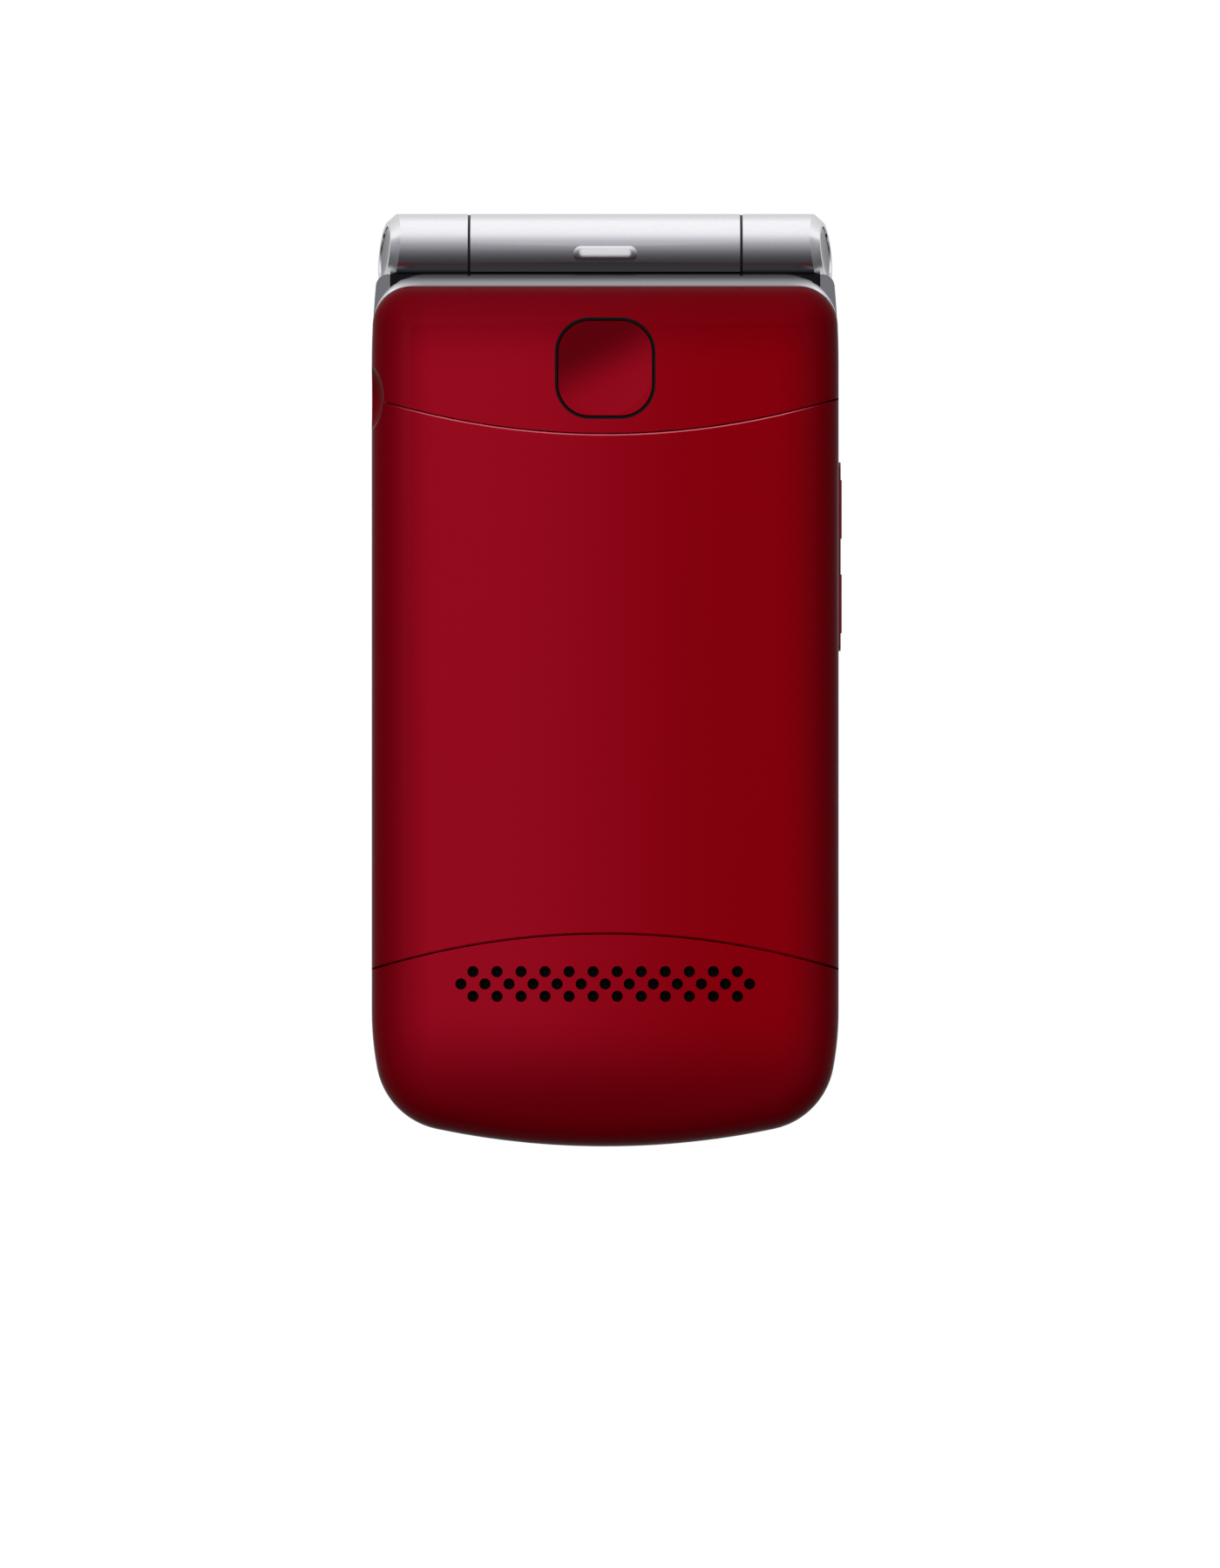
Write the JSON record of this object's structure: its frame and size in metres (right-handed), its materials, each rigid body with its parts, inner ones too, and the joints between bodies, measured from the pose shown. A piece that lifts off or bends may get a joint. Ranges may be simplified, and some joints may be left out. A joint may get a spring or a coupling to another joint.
{
  "type": "flip phone",
  "caption": "Flip feature phone, closed, with a glossy red back, silver hinge barrel with a lamp, square help button, side rocker and speaker grille.",
  "frame": {"origin": "on the flat outer face of the display half, at the middle of the phone's length and width", "axes": "+X across the width, to the right when the back faces the viewer with the hinge up; +Y along the length, towards the hinge; +Z through the thickness, towards the back with the help button"},
  "size_m": [0.0524, 0.1042, 0.0198],
  "materials": {
    "red_shell": "glossy deep red moulded ABS",
    "silver_shell": "silver painted ABS, satin",
    "black_shell": "fine black moulded plastic",
    "window": "dark clear acrylic",
    "lamp_lens": "frosted clear lens",
    "display": "display, switched off",
    "key_plastic": "dark grey moulded keys",
    "chrome_trim": "plated disc",
    "black_rubber": "black rubber",
    "key_rubber": "translucent silicone",
    "steel": "plain steel",
    "bush_plastic": "natural acetal",
    "board": "green solder mask",
    "film": "amber polyimide film",
    "black_part": "black component body",
    "mesh_cloth": "black woven dust mesh",
    "battery_wrap": "plain pale battery wrap"
  },
  "bodies": {
    "lid": {"lid_outer_cover": "red_shell", "outer_display_window": "window", "outer_display_module": "display", "lid_inner_cover": "black_shell", "main_display_window": "window", "main_display_panel": "display", "lid_circuit_board": "board", "earpiece_mesh": "mesh_cloth", "earpiece_speaker": "black_part", "lid_magnet": "steel", "lid_bumpers": "black_rubber", "lid_screws": "steel", "hinge_barrel": "silver_shell", "torch_led": "board", "torch_lens": "lamp_lens", "hinge_cartridge": "steel", "hinge_ribbon": "film"},
    "base": {"base_frame": "silver_shell", "rear_housing": "red_shell", "emergency_button_seal": "black_rubber", "keypad_plate": "black_shell", "keypad_mat": "key_rubber", "dome_sheet": "film", "main_circuit_board": "board", "sim_card_holder": "steel", "battery_connector": "black_shell", "vibration_motor": "steel", "microphone": "black_part", "charging_port": "steel", "antenna_carrier": "black_shell", "tact_switches": "black_part", "speaker_mesh": "mesh_cloth", "loudspeaker": "black_part", "base_screws": "steel", "hinge_cam_head": "steel", "hinge_bush": "bush_plastic", "hinge_end_caps": "chrome_trim"},
    "battery_cover": {"battery_cover": "red_shell"},
    "battery": {"battery": "battery_wrap"},
    "emergency_button": {"emergency_button": "red_shell"},
    "volume_rocker": {"volume_rocker": "red_shell"},
    "key_1": {"key_1": "key_plastic"},
    "key_2": {"key_2": "key_plastic"},
    "key_3": {"key_3": "key_plastic"},
    "key_4": {"key_4": "key_plastic"},
    "key_5": {"key_5": "key_plastic"},
    "key_6": {"key_6": "key_plastic"},
    "key_7": {"key_7": "key_plastic"},
    "key_8": {"key_8": "key_plastic"},
    "key_9": {"key_9": "key_plastic"},
    "key_star": {"key_star": "key_plastic"},
    "key_0": {"key_0": "key_plastic"},
    "key_hash": {"key_hash": "key_plastic"},
    "key_soft_left": {"key_soft_left": "key_plastic"},
    "key_soft_right": {"key_soft_right": "key_plastic"},
    "key_call": {"key_call": "key_plastic"},
    "key_end": {"key_end": "key_plastic"},
    "navigation_ring": {"navigation_ring": "key_plastic"},
    "centre_key": {"centre_key": "key_plastic"}
  },
  "joints": [
    {"name": "flip_hinge", "type": "hinge", "parent": "lid", "child": "base", "pos_m": [0, 0.0478, 0.0085], "axis": [-1, 0, 0], "range_deg": [0, 155]},
    {"name": "battery_cover_lift", "type": "slide", "parent": "base", "child": "battery_cover", "axis": [0, 0, 1], "range_m": [0, 0.02]},
    {"name": "battery_lift", "type": "slide", "parent": "base", "child": "battery", "axis": [0, 0, 1], "range_m": [0, 0.012]},
    {"name": "emergency_button_press", "type": "slide", "parent": "base", "child": "emergency_button", "axis": [0, 0, -1], "range_m": [0, 0.0006], "stiffness_N_per_m": 700, "springref_m": -0.0006},
    {"name": "volume_rocker_tilt", "type": "hinge", "parent": "base", "child": "volume_rocker", "pos_m": [0.0228, 0.0137, 0.0111], "axis": [0, 0, 1], "range_deg": [-1.4, 1.4], "stiffness_Nm_per_rad": 0.02},
    {"name": "key_1_press", "type": "slide", "parent": "base", "child": "key_1", "axis": [0, 0, 1], "range_m": [0, 0.0004], "stiffness_N_per_m": 600, "springref_m": -0.0005},
    {"name": "key_2_press", "type": "slide", "parent": "base", "child": "key_2", "axis": [0, 0, 1], "range_m": [0, 0.0004], "stiffness_N_per_m": 600, "springref_m": -0.0005},
    {"name": "key_3_press", "type": "slide", "parent": "base", "child": "key_3", "axis": [0, 0, 1], "range_m": [0, 0.0004], "stiffness_N_per_m": 600, "springref_m": -0.0005},
    {"name": "key_4_press", "type": "slide", "parent": "base", "child": "key_4", "axis": [0, 0, 1], "range_m": [0, 0.0004], "stiffness_N_per_m": 600, "springref_m": -0.0005},
    {"name": "key_5_press", "type": "slide", "parent": "base", "child": "key_5", "axis": [0, 0, 1], "range_m": [0, 0.0004], "stiffness_N_per_m": 600, "springref_m": -0.0005},
    {"name": "key_6_press", "type": "slide", "parent": "base", "child": "key_6", "axis": [0, 0, 1], "range_m": [0, 0.0004], "stiffness_N_per_m": 600, "springref_m": -0.0005},
    {"name": "key_7_press", "type": "slide", "parent": "base", "child": "key_7", "axis": [0, 0, 1], "range_m": [0, 0.0004], "stiffness_N_per_m": 600, "springref_m": -0.0005},
    {"name": "key_8_press", "type": "slide", "parent": "base", "child": "key_8", "axis": [0, 0, 1], "range_m": [0, 0.0004], "stiffness_N_per_m": 600, "springref_m": -0.0005},
    {"name": "key_9_press", "type": "slide", "parent": "base", "child": "key_9", "axis": [0, 0, 1], "range_m": [0, 0.0004], "stiffness_N_per_m": 600, "springref_m": -0.0005},
    {"name": "key_star_press", "type": "slide", "parent": "base", "child": "key_star", "axis": [0, 0, 1], "range_m": [0, 0.0004], "stiffness_N_per_m": 600, "springref_m": -0.0005},
    {"name": "key_0_press", "type": "slide", "parent": "base", "child": "key_0", "axis": [0, 0, 1], "range_m": [0, 0.0004], "stiffness_N_per_m": 600, "springref_m": -0.0005},
    {"name": "key_hash_press", "type": "slide", "parent": "base", "child": "key_hash", "axis": [0, 0, 1], "range_m": [0, 0.0004], "stiffness_N_per_m": 600, "springref_m": -0.0005},
    {"name": "key_soft_left_press", "type": "slide", "parent": "base", "child": "key_soft_left", "axis": [0, 0, 1], "range_m": [0, 0.0004], "stiffness_N_per_m": 600, "springref_m": -0.0005},
    {"name": "key_soft_right_press", "type": "slide", "parent": "base", "child": "key_soft_right", "axis": [0, 0, 1], "range_m": [0, 0.0004], "stiffness_N_per_m": 600, "springref_m": -0.0005},
    {"name": "key_call_press", "type": "slide", "parent": "base", "child": "key_call", "axis": [0, 0, 1], "range_m": [0, 0.0004], "stiffness_N_per_m": 600, "springref_m": -0.0005},
    {"name": "key_end_press", "type": "slide", "parent": "base", "child": "key_end", "axis": [0, 0, 1], "range_m": [0, 0.0004], "stiffness_N_per_m": 600, "springref_m": -0.0005},
    {"name": "navigation_ring_press", "type": "slide", "parent": "base", "child": "navigation_ring", "axis": [0, 0, 1], "range_m": [0, 0.0004], "stiffness_N_per_m": 600, "springref_m": -0.0005},
    {"name": "centre_key_press", "type": "slide", "parent": "base", "child": "centre_key", "axis": [0, 0, 1], "range_m": [0, 0.0004], "stiffness_N_per_m": 600, "springref_m": -0.0005}
  ],
  "couplings": [
    {"joint": "battery_lift", "follows": "battery_cover_lift", "ratio": 0.5}
  ]
}
